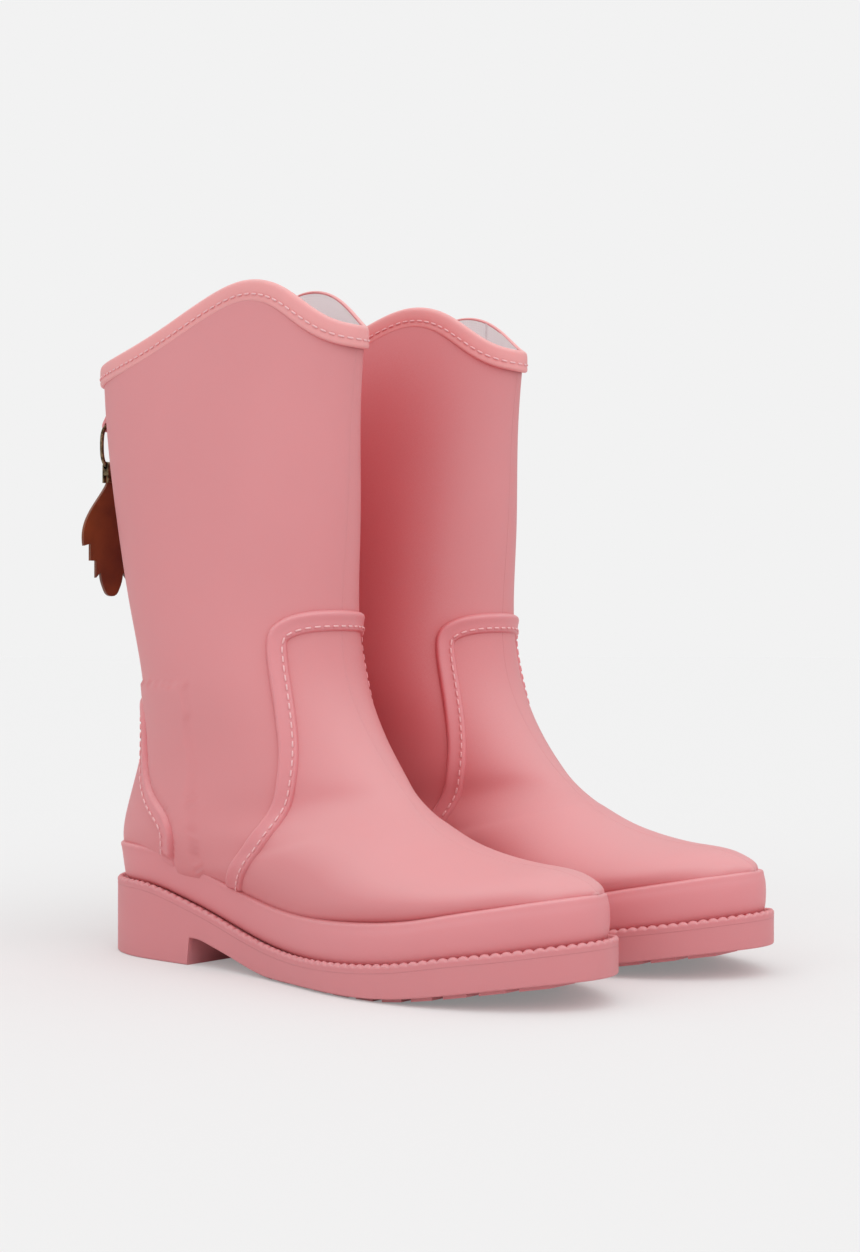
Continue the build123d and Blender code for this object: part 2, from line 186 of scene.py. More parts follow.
# the form of a boot, in mm
bootForm = dict(
    # from the mouth to the toe: front s and z, back s and z, half width, lateral shift, and where
    # between back and front it's widest
    sections=[
        (150.5, 312, -23, 312, 19, 0, 0.5),
        (145.5, 280, -20, 280, 24.5, 0, 0.5),
        (141, 247, -15, 247, 30, 0, 0.5),
        (138, 195, -2, 195, 36, 0, 0.5),
        (135, 156, 10.5, 156, 39, 0, 0.5),
        (139.5, 122, 21.5, 119, 41, 0, 0.5),
        (154.1, 97.4, 15.4, 90.5, 38.8, -0.4, 0.5),
        (166.2, 83.7, 5, 65.7, 38, -0.2, 0.48),
        (172.4, 78, 2.3, 46.1, 37.2, 0.3, 0.47),
        (178, 73, 10.6, 33.3, 36.2, 0.9, 0.6),
        (183.9, 68.4, 60.7, 30.1, 37.8, 1.5, 0.61),
        (191.8, 63.6, 120.7, 17.4, 40.9, 1.8, 0.58),
        (206.5, 57.9, 168, 18.6, 43.6, 1.4, 0.48),
        (233.5, 53.3, 208.2, 22.3, 39, -0.4, 0.5),
        (253.6, 51.6, 231.1, 25.9, 29.4, -1, 0.5),
        (262.6, 49.2, 243.2, 26.7, 21.8, -1.2, 0.5),
        (267, 47.3, 253, 28.4, 15.6, -1.3, 0.5),
        (269, 45.7, 259, 29.7, 10, -1.3, 0.5),
        (269.8, 44.6, 262, 30.3, 5, -1.4, 0.5),
        (270.1, 44, 263, 30.6, 0.5, -1.4, 0.5),
    ],
    samples=700,             # sections worked out between these
    rows=230,                # points of the skin down the boot
    columns=160,             # and round it
    topline=[(-40, 274), (-20, 274.3), (12, 277), (45, 285.2), (72, 295.6), (95, 301), (113, 297.2),
             (129, 286.8), (141, 279.5), (152, 277), (180, 276)],
    weltLine=[(-12, 33.8), (14, 33.8), (30, 34), (44, 33.4), (61, 30), (84, 23.9), (101, 19.1), (117, 15.4),
              (133, 13.1), (153, 12.1), (172, 12.6), (193, 14), (210, 16.1), (227, 19.1), (244, 21.7),
              (261, 24.4), (273, 26.2), (290, 28)],
    vampEdge=[(91.5, 32), (106.5, 49), (119, 62.5), (126, 76), (127.5, 90), (125, 107), (121, 124),
              (118, 139), (118.5, 147), (124.5, 152.8), (134, 155.5), (152, 155.5)],
    counterEdge=[(61, 35), (62, 43.5), (65, 51), (66.3, 58.5), (62.5, 66), (54, 72.5), (46, 81), (42.5, 95),
                 (38, 111), (26, 119), (0, 120)],
    lateralEdge=[(4, 11.5), (11.8, 21.8), (27.5, 30.8), (55, 33.6), (96, 34), (137, 40.5), (179, 48.5),
                 (214, 46), (242, 36.5), (261, 24), (271, 13)],
    medialEdge=[(4, -11.5), (11.8, -21), (27.5, -29.5), (55, -32), (96, -30), (137, -36), (170, -44),
                (203, -47), (236, -40.5), (258, -28), (271, -13.5)],
    footLength=275.0,
)

sections = np.array(bootForm["sections"])
sectionSteps = (np.linalg.norm(np.diff(sections[:, 0:2], axis=0), axis=1)
                + np.linalg.norm(np.diff(sections[:, 2:4], axis=0), axis=1)) / 2
sectionKnots = np.concatenate([[0], np.cumsum(sectionSteps)])
sectionAt = np.linspace(0, sectionKnots[-1], bootForm["samples"])
formRows = naturalSpline(sectionKnots, sections, sectionAt)


def shareAt(a, widest):
    # how far from back to front this angle lies along a section
    cosine = math.cos(a)
    return widest + cosine * ((1 - widest) if cosine > 0 else widest)


def formPoint(v, a):
    # v along the sections, a round one of them from the front over the lateral side; gives s, w, z
    values = (np.interp(v, sectionAt, column) for column in formRows.T)
    frontS, frontZ, backS, backZ, half, shift, widest = values
    share = shareAt(a, widest)
    return np.array([backS + (frontS - backS) * share, shift + half * math.sin(a),
                     backZ + (frontZ - backZ) * share])


def onProfile(s, z):
    # v and a of the lateral surface point that is seen at this place of the side profile
    front, back = formRows[:, 0:2], formRows[:, 2:4]
    chord = front - back
    ahead = np.array([s, z]) - back
    cross = chord[:, 0] * ahead[:, 1] - chord[:, 1] * ahead[:, 0]
    share = (chord * ahead).sum(1) / (chord ** 2).sum(1)
    best = None
    for i in np.where(cross[:-1] * cross[1:] <= 0)[0]:
        part = cross[i] / (cross[i] - cross[i + 1]) if cross[i] != cross[i + 1] else 0
        t = share[i] + (share[i + 1] - share[i]) * part
        v = sectionAt[i] + (sectionAt[i + 1] - sectionAt[i]) * part
        miss = max(0, -t, t - 1)
        if best is None or miss < best[0]:
            best = (miss, v, t)
    widest = np.interp(best[1], sectionAt, formRows[:, 6])
    cosine = (best[2] - widest) / ((1 - widest) if best[2] > widest else widest)
    return best[1], math.acos(max(-1, min(1, cosine))), best[2]


toplineDense = splineThrough(bootForm["topline"], 400)


def toplineAt(a):
    # where the column at this angle meets the topline
    s, _, z = formPoint(sectionAt, a)
    over = z - np.interp(s, toplineDense[:, 0], toplineDense[:, 1])
    i = int(np.argmax(over < 0))
    part = over[i - 1] / (over[i - 1] - over[i])
    return sectionAt[i - 1] + (sectionAt[i] - sectionAt[i - 1]) * part


weltDense = splineThrough(bootForm["weltLine"], 400)


def weltTop(s):
    return float(np.interp(s, weltDense[:, 0], weltDense[:, 1]))


columnAngles = fullTurn(bootForm["columns"])
toplineRows = [toplineAt(a) for a in columnAngles]
print("form worked out")


# materials
def setInputs(node, values):
    for name, value in values.items():
        node.inputs[name].default_value = value


class Tree:
    # a node tree and what gets built in it
    def __init__(self, owner):
        owner.use_nodes = True
        self.nodes = owner.node_tree.nodes
        self.link = owner.node_tree.links.new

    def add(self, kind):
        return self.nodes.new("ShaderNode" + kind)

    def feed(self, value, socket):
        # the value is a node's output, a colour or a number
        if isinstance(value, bpy.types.NodeSocket):
            self.link(value, socket)
        else:
            socket.default_value = (*value, 1) if isinstance(value, tuple) else value

    def coordinates(self, name):
        return self.add("TexCoord").outputs[name]

    def height(self, vector):
        parts = self.add("SeparateXYZ")
        self.link(vector, parts.inputs[0])
        return parts.outputs["Z"]

    def noise(self, where, scale, detail=3.0, roughness=0.55):
        noise = self.add("TexNoise")
        setInputs(noise, {"Scale": scale, "Detail": detail, "Roughness": roughness})
        self.link(where, noise.inputs["Vector"])
        return noise.outputs["Fac"]

    def ranged(self, value, low=0, high=1, toLow=0, toHigh=1, soft=False):
        ranged = self.add("MapRange")
        ranged.interpolation_type = "SMOOTHSTEP" if soft else "LINEAR"
        setInputs(ranged, {"From Min": low, "From Max": high, "To Min": toLow, "To Max": toHigh})
        self.link(value, ranged.inputs["Value"])
        return ranged.outputs["Result"]

    def product(self, first, second):
        times = self.add("Math")
        times.operation = "MULTIPLY"
        self.feed(first, times.inputs[0])
        self.feed(second, times.inputs[1])
        return times.outputs[0]

    def colours(self, factor, low, high, lowAt=0.35, highAt=0.65):
        # from the low colour to the high one as the factor goes from lowAt to highAt
        ramp = self.add("ValToRGB")
        for element, at, colour in zip(ramp.color_ramp.elements, (lowAt, highAt), (low, high)):
            element.position = at
            element.color = (*colour, 1)
        self.link(factor, ramp.inputs["Fac"])
        return ramp.outputs["Color"]

    def overlaid(self, factor, base, over, kind="MIX"):
        # base where the factor is 0; where it's 1, over, or both multiplied
        mix = self.add("Mix")
        mix.data_type = "RGBA"
        mix.blend_type = kind
        self.link(factor, mix.inputs["Factor"])
        self.feed(base, mix.inputs["A"])
        self.feed(over, mix.inputs["B"])
        return mix.outputs["Result"]

    def mixedShader(self, *factorAndShaders):
        mix = self.add("MixShader")
        for value, socket in zip(factorAndShaders, mix.inputs):
            self.link(value, socket)
        return mix.outputs[0]

    def bump(self, height, strength, distance, under=None):
        bump = self.add("Bump")
        setInputs(bump, {"Strength": strength, "Distance": distance})
        self.link(height, bump.inputs["Height"])
        if under:
            self.link(under, bump.inputs["Normal"])
        return bump.outputs["Normal"]


def newMaterial(name, surface):
    # the surface is what its shader is set to
    material = bpy.data.materials.new(name)
    tree = Tree(material)
    shader = tree.nodes["Principled BSDF"]
    setInputs(shader, surface)
    return material, tree, shader.inputs


rubberFinish = dict(
    upper=(0.745, 0.285, 0.300),   # linear colours
    trim=(0.765, 0.290, 0.310),
    sole=(0.700, 0.262, 0.280),
    # the stitches' colour is paler than the rubber's; the extra paleness is painted light that offsets the
    # shade they sit in
    stitch=(0.900, 0.490, 0.505),
    binding=(0.870, 0.375, 0.375),
    deep=(0.94, 0.54, 0.56),       # the colour is multiplied by this where little light gets in
    deepWithin=0.12,               # metres in which something may stand in the light's way
    deepSamples=4,
    deepAt=(0.86, 0.37),           # open share at which the deepening starts and is whole
    deepFrom=(0.0, 0.11),          # and height, since near the ground it's only the floor that is near
    paintedSheen=(1.0, 1.17, 1.15),       # painted highlight: the colour is multiplied by this paler tint where it faces up, as if lit from above
    paintedSheenAt=(0.15, 0.65),          # the normal's z at which the painted highlight starts and is whole
    mottle=0.010,                  # how much the colour wanders
    mottleScale=18,
    trimRoughness=0.46,
    soleRoughness=0.5,
    roughness=0.52,
    roughnessSpread=(-0.04, 0.06),
    ripple=dict(scale=55, strength=0.2, depth=0.0002),
    grain=dict(scale=2600, strength=0.35, depth=0.00004),
    surface={
        "Subsurface Weight": 0.12,
        "Subsurface Radius": (1.0, 0.35, 0.3),
        "Subsurface Scale": 0.003,
        "Specular IOR Level": 0.42,
    },
)


def rubberMaterial(name, colour, roughness=rubberFinish["roughness"], grainShare=1.0):
    look = rubberFinish
    material, tree, inputs = newMaterial(name, look["surface"])
    where = tree.coordinates("Object")
    cloud = tree.noise(where, look["mottleScale"], 2.0)
    paler = [c * (1 + look["mottle"]) for c in colour]
    darker = [c * (1 - look["mottle"]) for c in colour]
    # painted highlight: parts that face up are paled, as if lit from above
    upward = tree.ranged(tree.height(tree.coordinates("Normal")), *look["paintedSheenAt"])
    sheenPainted = tree.overlaid(upward, tree.colours(cloud, darker, paler), look["paintedSheen"], "MULTIPLY")

    around = tree.add("AmbientOcclusion")
    around.samples = look["deepSamples"]
    around.inputs["Distance"].default_value = look["deepWithin"]
    closed = tree.ranged(around.outputs["AO"], *look["deepAt"], soft=True)
    high = tree.ranged(tree.height(tree.add("NewGeometry").outputs["Position"]), *look["deepFrom"])
    deepened = tree.overlaid(tree.product(closed, high), sheenPainted, look["deep"], "MULTIPLY")
    tree.link(deepened, inputs["Base Color"])

    ripple, grain = look["ripple"], look["grain"]
    soft = tree.bump(tree.noise(where, ripple["scale"], 2.0, 0.5), ripple["strength"], ripple["depth"])
    grained = tree.noise(where, grain["scale"], 2.0, 0.6)
    tree.link(tree.bump(grained, grain["strength"] * grainShare, grain["depth"], soft), inputs["Normal"])
    low, high = [roughness + spread for spread in look["roughnessSpread"]]
    tree.link(tree.ranged(cloud, toLow=low, toHigh=high), inputs["Roughness"])
    return material


pinkUpper = rubberMaterial("pinkUpperRubber", rubberFinish["upper"])
pinkTrim = rubberMaterial("pinkTrimRubber", rubberFinish["trim"], rubberFinish["trimRoughness"])
pinkBinding = rubberMaterial("pinkBindingRubber", rubberFinish["binding"], rubberFinish["trimRoughness"])
pinkSole = rubberMaterial("pinkSoleRubber", rubberFinish["sole"], rubberFinish["soleRoughness"])
pinkStitch = rubberMaterial("pinkStitchRubber", rubberFinish["stitch"], rubberFinish["soleRoughness"], 0.3)
print("rubber mixed")


liningFinish = dict(
    light=(1.0, 0.91, 0.92),
    dark=(0.90, 0.76, 0.78),
    mesh=0.0011,             # metres from one hole of the mesh to the next
    depth=0.00022,
    fuzzScale=900,
    fuzzDepth=0.0002,
    surface={"Roughness": 0.95, "Sheen Weight": 0.35, "Specular IOR Level": 0.2},
)


def liningMaterial():
    look = liningFinish
    material, tree, inputs = newMaterial("knitLining", look["surface"])
    threads = []
    for direction in ("X", "Y"):
        wave = tree.add("TexWave")
        wave.bands_direction = direction
        # at scale 1 this texture has 10 / pi waves to the metre
        setInputs(wave, {"Scale": math.pi / 10 / look["mesh"], "Distortion": 0.6, "Detail": 1.0})
        tree.link(tree.coordinates("UV"), wave.inputs["Vector"])
        threads.append(wave.outputs["Fac"])
    holes = tree.product(*threads)
    tree.link(tree.colours(holes, look["light"], look["dark"], 0.35, 0.95), inputs["Base Color"])
    fuzz = tree.noise(tree.coordinates("Object"), look["fuzzScale"], 3.0, 0.7)
    soft = tree.bump(fuzz, 0.3, look["fuzzDepth"])
    tree.link(tree.bump(holes, -0.8, look["depth"], soft), inputs["Normal"])
    return material


metalFinish = dict(
    bright=(0.300, 0.215, 0.120),
    dark=(0.070, 0.045, 0.025),
    tarnishScale=420,
    tarnishDepth=0.00008,
    surface={"Metallic": 1.0, "Roughness": 0.36},
)
leatherFinish = dict(
    light=(0.260, 0.066, 0.017),
    dark=(0.105, 0.020, 0.007),
    cloudScale=45,
    poreScale=1500,
    poreDepth=0.00006,
    surface={"Roughness": 0.38, "Specular IOR Level": 0.5, "Coat Weight": 0.15, "Coat Roughness": 0.3},
)


def agedBrass():
    look = metalFinish
    material, tree, inputs = newMaterial("agedBrass", look["surface"])
    tarnish = tree.noise(tree.coordinates("Object"), look["tarnishScale"], 4.0, 0.65)
    tree.link(tree.colours(tarnish, look["dark"], look["bright"], 0.4, 0.62), inputs["Base Color"])
    tree.link(tree.bump(tarnish, 0.25, look["tarnishDepth"]), inputs["Normal"])
    return material


def brownLeather():
    look = leatherFinish
    material, tree, inputs = newMaterial("brownLeather", look["surface"])
    where = tree.coordinates("Object")
    cloud = tree.noise(where, look["cloudScale"], 3.0, 0.5)
    tree.link(tree.colours(cloud, look["dark"], look["light"], 0.3, 0.75), inputs["Base Color"])
    pores = tree.noise(where, look["poreScale"], 3.0, 0.6)
    tree.link(tree.bump(pores, 0.5, look["poreDepth"]), inputs["Normal"])
    return material


plainFinish = dict(
    darker=0.9,              # the colour wanders between these shares of itself
    paler=1.08,
    grainScale=700,
    grainDepth=0.0001,
)


def plainMaterial(name, colour, roughness, metallic=0.0):
    look = plainFinish
    material, tree, inputs = newMaterial(name, {"Roughness": roughness, "Metallic": metallic})
    grain = tree.noise(tree.coordinates("Object"), look["grainScale"])
    shades = [[c * look[share] for c in colour] for share in ("darker", "paler")]
    tree.link(tree.colours(grain, *shades), inputs["Base Color"])
    tree.link(tree.bump(grain, 0.3, look["grainDepth"]), inputs["Normal"])
    return material


knit = liningMaterial()
brass = agedBrass()
leather = brownLeather()
knitSeam = plainMaterial("knitSeam", (0.86, 0.74, 0.76), 0.9)
foam = plainMaterial("footbedFoam", (0.62, 0.48, 0.50), 0.9)
boardCard = plainMaterial("insoleBoard", (0.42, 0.30, 0.20), 0.85)
steel = plainMaterial("shankSteel", (0.45, 0.46, 0.48), 0.35, metallic=1.0)
print("lining, leather and metal mixed")


# the outer skin of the upper, one smooth moulded surface from the mouth to the toe
skinLook = dict(
    underBinding=2.0,      # how far under the finished topline the skin ends
    counterRise=1.2,       # the heel panel stands this proud
    counterRamp=3.0,
    counterWithin=(80, 124),   # all of the panel has a lower s and z than these
)


def signedToLine(line, s, z):
    # distance to the line, positive on its left
    start, end = line[:-1], line[1:]
    run = end - start
    toPoint = np.array([s, z]) - start
    t = np.clip((toPoint * run).sum(1) / (run ** 2).sum(1), 0, 1)
    gap = toPoint - run * t[:, None]
    distance = np.linalg.norm(gap, axis=1)
    i = int(np.argmin(distance))
    return distance[i] * (1 if run[i, 0] * gap[i, 1] - run[i, 1] * gap[i, 0] > 0 else -1)


def formGrid(underTopline):
    grid = np.zeros((bootForm["rows"], bootForm["columns"], 3))
    for c, a in enumerate(columnAngles):
        first = toplineRows[c] + underTopline
        grid[:, c] = formPoint(np.linspace(0, 1, bootForm["rows"]) * (sectionAt[-1] - first) + first, a).T
    return grid


def gridNormals(grid):
    along = np.gradient(grid, axis=0)
    around = np.roll(grid, -1, axis=1) - np.roll(grid, 1, axis=1)
    normal = np.cross(along, around)
    length = np.linalg.norm(normal, axis=2, keepdims=True)
    return normal / np.maximum(length, 1e-9)


def skinGrid():
    grid = formGrid(skinLook["underBinding"])
    counter = splineThrough(bootForm["counterEdge"], 90)
    furthestS, furthestZ = skinLook["counterWithin"]
    normals = gridNormals(grid)
    for r, c in np.ndindex(grid.shape[:2]):
        s, w, z = grid[r, c]
        if s < furthestS and z < furthestZ:
            rise = softStep(-signedToLine(counter, s, z) / skinLook["counterRamp"])
            grid[r, c] += normals[r, c] * skinLook["counterRise"] * rise
    return grid


outerGrid = skinGrid()
outerNormals = gridNormals(outerGrid)


class Skin:
    # the skin in the boot's own s, w, z, to lay trims and stitches on
    def __init__(self, grid, normals):
        rows, columns = grid.shape[:2]
        self.points = [Vector(p) for p in grid.reshape(-1, 3)]
        self.normals = [Vector(n) for n in normals.reshape(-1, 3)]
        self.faces = gridFaces(rows, columns, closeColumns=True)
        self.tree = BVHTree.FromPolygons(self.points, self.faces)

    def nearest(self, point):
        hit, _, index, _ = self.tree.find_nearest(Vector(point))
        corners = self.faces[index]
        weights = poly_3d_calc([self.points[i] for i in corners], hit)
        normal = Vector()
        for weight, i in zip(weights, corners):
            normal += self.normals[i] * weight
        return hit, normal.normalized()


skin = Skin(outerGrid, outerNormals)
print("skin worked out")


def skinPiece(boot):
    rows, columns = outerGrid.shape[:2]
    flip = boot["side"] == "right"
    faces = gridFaces(rows, columns, closeColumns=True, flip=flip)
    last = [(rows - 1) * columns + c for c in range(columns)]
    faces.append(tuple(last if flip else reversed(last)))
    meshPiece(boot, "UpperSkin", outerGrid.reshape(-1, 3), faces, pinkUpper, "pink_rubber",
              replaced=["upper_shell"])


for boot in boots:
    skinPiece(boot)
print("upper skin made")


# the knitted sock inside, with its flat seam
liningLook = dict(
    inset=1.2,               # just inside the rubber at the mouth
    deepInset=4.0,           # and further down, where the sock is thicker
    deepFrom=30,
    underTopline=0.6,
    seamS=112,               # where the seam starts at the mouth
    seamLength=0.42,         # share of the rows that it runs down
    seamWidth=1.5,
    seamEdge=0.3,
    seamHeight=0.45,
    waver=0.12,
    # the waver's pace one way, and how much and how fast that way itself swings the other way
    waverDown=(0.31, 1.7, 0.12),
    waverRound=(0.47, 2.1, 0.09),
    girthRow=40,             # the row whose length round the boot lays out the mesh
)


def waves(along, beside, look):
    pace, swing, swingPace = look
    return np.sin(along * pace + swing * np.sin(beside * swingPace))


def liningPiece(boot, grid, normals):
    look = liningLook
    rows, columns = grid.shape[:2]
    share = np.array([softStep(r / look["deepFrom"]) for r in range(rows)])[:, None, None]
    inner = grid - normals * (look["inset"] + (look["deepInset"] - look["inset"]) * share)
    r, c = np.meshgrid(np.arange(rows), np.arange(columns), indexing="ij")
    waver = waves(r, c, look["waverDown"]) + waves(c, r, look["waverRound"])
    inner = inner - normals * (waver * look["waver"])[:, :, None]
    faces = gridFaces(rows, columns, closeColumns=True, flip=boot["side"] == "left")
    piece = meshPiece(boot, "KnitLining", inner.reshape(-1, 3), faces, knit, "knit_lining",
                      replaced=["lining"])
    steps = np.linalg.norm(np.diff(inner, axis=0), axis=2)
    down = np.cumsum(np.vstack([np.zeros((1, columns)), steps]), axis=0)
    girth = inner[look["girthRow"]]
    across = np.concatenate([[0], np.cumsum(np.linalg.norm(np.roll(girth, -1, axis=0) - girth, axis=1))])
    layer = piece.data.uv_layers.new(name="knit")
    for polygon in piece.data.polygons:
        corners = [piece.data.loops[k].vertex_index for k in polygon.loop_indices]
        last = any(k % columns == columns - 1 for k in corners)
        for k, index in zip(polygon.loop_indices, corners):
            row, column = divmod(index, columns)
            at = across[columns] if last and column == 0 else across[column]
            layer.data[k].uv = (at * mm, down[row, column] * mm)


def liningSeam(boot, grid, normals):
    look = liningLook
    rows, columns = grid.shape[:2]
    lateral = range(columns // 2)
    c = min(lateral, key=lambda k: abs(grid[0, k, 0] - look["seamS"]))
    edge, high = look["seamEdge"], look["seamHeight"]
    profile = [(-1, -edge), (-0.8, edge), (-0.2, high), (0.2, high), (0.8, edge), (1, -edge)]
    strip = []
    for r in range(int(rows * look["seamLength"])):
        deep = softStep(r / look["deepFrom"]) * (look["deepInset"] - look["inset"])
        at = Vector(grid[r, c] - normals[r, c] * (look["inset"] + deep))
        inwards = -Vector(normals[r, c])
        beside = Vector(grid[r, c + 1] - grid[r, c - 1]).normalized()
        strip.append([at + beside * (look["seamWidth"] / 2 * o) + inwards * h for o, h in profile])
    rowsPiece(boot, "LiningSeam", strip, knitSeam, "knit_lining")


# a fine raised line where the two halves of the mould met, down the front and over the toe
partingLook = dict(
    height=0.16,
    width=0.55,
    # across and up, as shares of the width and the height
    profile=[(-1, -0.6), (-0.45, 0.7), (0, 1.0), (0.45, 0.7), (1, -0.6)],
)


def partingLine(boot):
    strip = []
    for r in range(2, outerGrid.shape[0] - 1):
        at, up = Vector(outerGrid[r, 0]), Vector(outerNormals[r, 0])
        beside = Vector(outerGrid[r, 1] - outerGrid[r, -1]).normalized()
        strip.append([at + beside * o * partingLook["width"] + up * h * partingLook["height"]
                      for o, h in partingLook["profile"]])
    rowsPiece(boot, "PartingLine", strip, pinkUpper, "pink_rubber")


# raised lines along the skin: trims and their rows of stitches
def walkOnSkin(line, step):
    # evenly spaced places on the skin, each with its normal, its direction and the way in from the edge
    points = evenly([skin.nearest(p)[0] for p in line], step)
    places = [skin.nearest(p) for p in points]
    walk = []
    for i, (at, normal) in enumerate(places):
        ahead = places[min(i + 1, len(places) - 1)][0] - places[max(i - 1, 0)][0]
        ahead = (ahead - normal * ahead.dot(normal)).normalized()
        walk.append((at, normal, ahead, normal.cross(ahead).normalized()))
    return walk


def bothSides(edge, turnAtFront, back=0):
    # the side profile's edge on the lateral skin, over the front or the back, and down the medial skin
    lateral = []
    nearly = 0.0005
    for s, z in splineThrough(edge, 260):
        v, a, share = onProfile(s, z)
        if (share > 1 - nearly) if turnAtFront else (share < nearly):
            break
        lateral.append((v, a))
    v = lateral[-1][0]
    turned = lateral + [(v, 0.0 if turnAtFront else math.pi)]
    if turnAtFront:
        medial = [(v, -a - back * softStep(a / trimLook["backRamp"])) for v, a in reversed(lateral)]
    else:
        medial = [(v, 2 * math.pi - a) for v, a in reversed(lateral)]
    return [formPoint(v, a) for v, a in turned + medial]


def stripOnSkin(walk, profile, inward=1):
    # profile: how far in from the edge and how high, point by point
    rows = []
    for at, normal, ahead, inside in walk:
        row = []
        for across, height in profile:
            if abs(across) > 0.01:
                foot, up = skin.nearest(at + inside * (across * inward))
            else:
                foot, up = at, normal
            above = foot[2] - weltTop(foot[0]) - trimLook["foxingTop"]
            thin = trimLook["underFoxing"]
            share = thin + (1 - thin) * softStep(above / trimLook["foxingRamp"])
            row.append(foot + up * height * (share if height > 0 else 1))
        rows.append(row)
    return rows


def roundedSteps(points, rounds=2):
    # corner cutting, so that a moulded edge has no sharp line
    for _ in range(rounds):
        cut = [points[0]]
        for p, q in zip(points[:-1], points[1:]):
            p, q = np.array(p), np.array(q)
            cut += [tuple(p * 0.75 + q * 0.25), tuple(p * 0.25 + q * 0.75)]
        points = cut + [points[-1]]
    return points


trimLook = dict(
    vampProfile=[(-0.7, -0.6), (-0.35, 0.5), (0.25, 1.9), (1.3, 2.45), (2.6, 2.2), (4.2, 1.75), (5.6, 1.6),
                 (7.4, 1.5), (8.2, 0.9), (8.8, -0.5)],
    counterProfile=[(-0.7, -0.6), (-0.35, 0.4), (0.25, 1.7), (1.3, 2.3), (2.6, 2.1), (4.2, 1.8), (5.6, 1.75),
                    (7.2, 1.7), (8.2, 1.4), (9.2, 0.2)],
    medialBack=dict(right=0.14, left=0),    # how much further back the medial half runs, in radians
    backRamp=0.5,           # radians from the front over which that comes in
    foxingTop=16.0,         # above the welt; under it the trims thin out and slip behind the foxing
    underFoxing=0.25,
    foxingRamp=2.5,
    vampStitchIn=6.5,
    counterStitchIn=6.3,
    vampStitchLift=1.75,
    counterStitchLift=1.9,
    step=1.1,
)

stitchLook = dict(
    length=2.9,
    pitch=4.1,
    radius=0.48,
    flat=0.75,          # height against width
    rings=7,
    around=8,
    endRounding=3.2,    # a higher number gives blunter ends
    endRings=1.6,       # and this puts the rings closer together there
)


def stitchRow(boot, name, walk, across, lift):
    # one mesh of rounded stitches that follow the walk
    line = evenly([skin.nearest(at + inside * across)[0] for at, normal, ahead, inside in walk],
                  stitchLook["pitch"])
    verts, faces = [], []
    for i in range(len(line) - 1):
        middle = Vector((line[i] + line[i + 1]) / 2)
        foot, up = skin.nearest(middle)
        if foot[2] < weltTop(foot[0]) + trimLook["foxingTop"]:
            continue
        run = Vector(line[i + 1] - line[i])
        run = (run - up * run.dot(up)).normalized()
        beside = up.cross(run)
        addCapsule(verts, faces, foot + up * lift, run, beside, up)
    meshPiece(boot, name, verts, faces, pinkStitch, "pink_rubber_trim")


def addCapsule(verts, faces, centre, run, beside, up):
    rings, around = stitchLook["rings"], stitchLook["around"]
    first = len(verts)
    half = stitchLook["length"] / 2
    smallest = 0.04
    for r in range(rings):
        t = -1 + 2 * r / (rings - 1)
        along = half * math.copysign(1 - (1 - abs(t)) ** stitchLook["endRings"], t)
        wide = stitchLook["radius"] * math.sqrt(max(smallest, 1 - abs(t) ** stitchLook["endRounding"]))
        for angle in fullTurn(around):
            verts.append(centre + run * along + beside * (math.cos(angle) * wide)
                         + up * (math.sin(angle) * wide * stitchLook["flat"]))
    for r in range(rings - 1):
        for k in range(around):
            a = first + r * around + k
            b = first + r * around + (k + 1) % around
            faces.append((a, b, b + around, a + around))
    faces.append(tuple(first + k for k in reversed(range(around))))
    faces.append(tuple(first + (rings - 1) * around + k for k in range(around)))


innerGrid = formGrid(liningLook["underTopline"])
innerNormals = gridNormals(innerGrid)
for boot in boots:
    liningPiece(boot, innerGrid, innerNormals)
    liningSeam(boot, innerGrid, innerNormals)
    partingLine(boot)
print("linings made")


def inwardSign(walk, target):
    # whether the walk's own inside looks towards the target or away from it
    at, _, _, inside = walk[len(walk) // 4]
    return 1 if inside.dot(Vector(target) - at) > 0 else -1


onCounter, onVamp = (10, 20, 50), (230, 30, 50)
counterWalk = walkOnSkin(bothSides(bootForm["counterEdge"], False), trimLook["step"])
counterIn = inwardSign(counterWalk, onCounter)
counterRows = stripOnSkin(counterWalk, roundedSteps(trimLook["counterProfile"]), counterIn)
for boot in boots:
    back = trimLook["medialBack"][boot["side"]]
    vampWalk = walkOnSkin(bothSides(bootForm["vampEdge"], True, back), trimLook["step"])
    vampIn = inwardSign(vampWalk, onVamp)
    vampRows = stripOnSkin(vampWalk, roundedSteps(trimLook["vampProfile"]), vampIn)
    rowsPiece(boot, "VampTrim", vampRows, pinkTrim, "pink_rubber_trim", flip=vampIn < 0,
              replaced=["vamp_trim"])
    rowsPiece(boot, "CounterTrim", counterRows, pinkTrim, "pink_rubber_trim", flip=counterIn < 0,
              replaced=["heel_counter"])
    stitchRow(boot, "VampStitches", vampWalk, trimLook["vampStitchIn"] * vampIn,
              trimLook["vampStitchLift"])
    stitchRow(boot, "CounterStitches", counterWalk, trimLook["counterStitchIn"] * counterIn,
              trimLook["counterStitchLift"])
print("trims and stitches made")


# the binding folded over the topline
bindingLook = dict(
    # out from the skin and up from the finished topline, from inside the shaft over the edge to the outside
    profile=[(-0.9, -1.3), (-1.25, -1.0), (-1.3, -0.6), (-1.05, -0.2), (-0.6, 0.0), (-0.1, 0.05),
             (0.6, -0.25), (1.35, -1.2), (1.6, -3.0), (1.6, -5.3), (1.4, -6.5), (1.5, -7.6), (1.6, -8.6),
             (1.4, -9.5), (0.6, -10.0), (-0.6, -9.9)],
    stitchDown=6.5,
    stitchLift=1.7,
    samples=720,
    step=1.2,
)


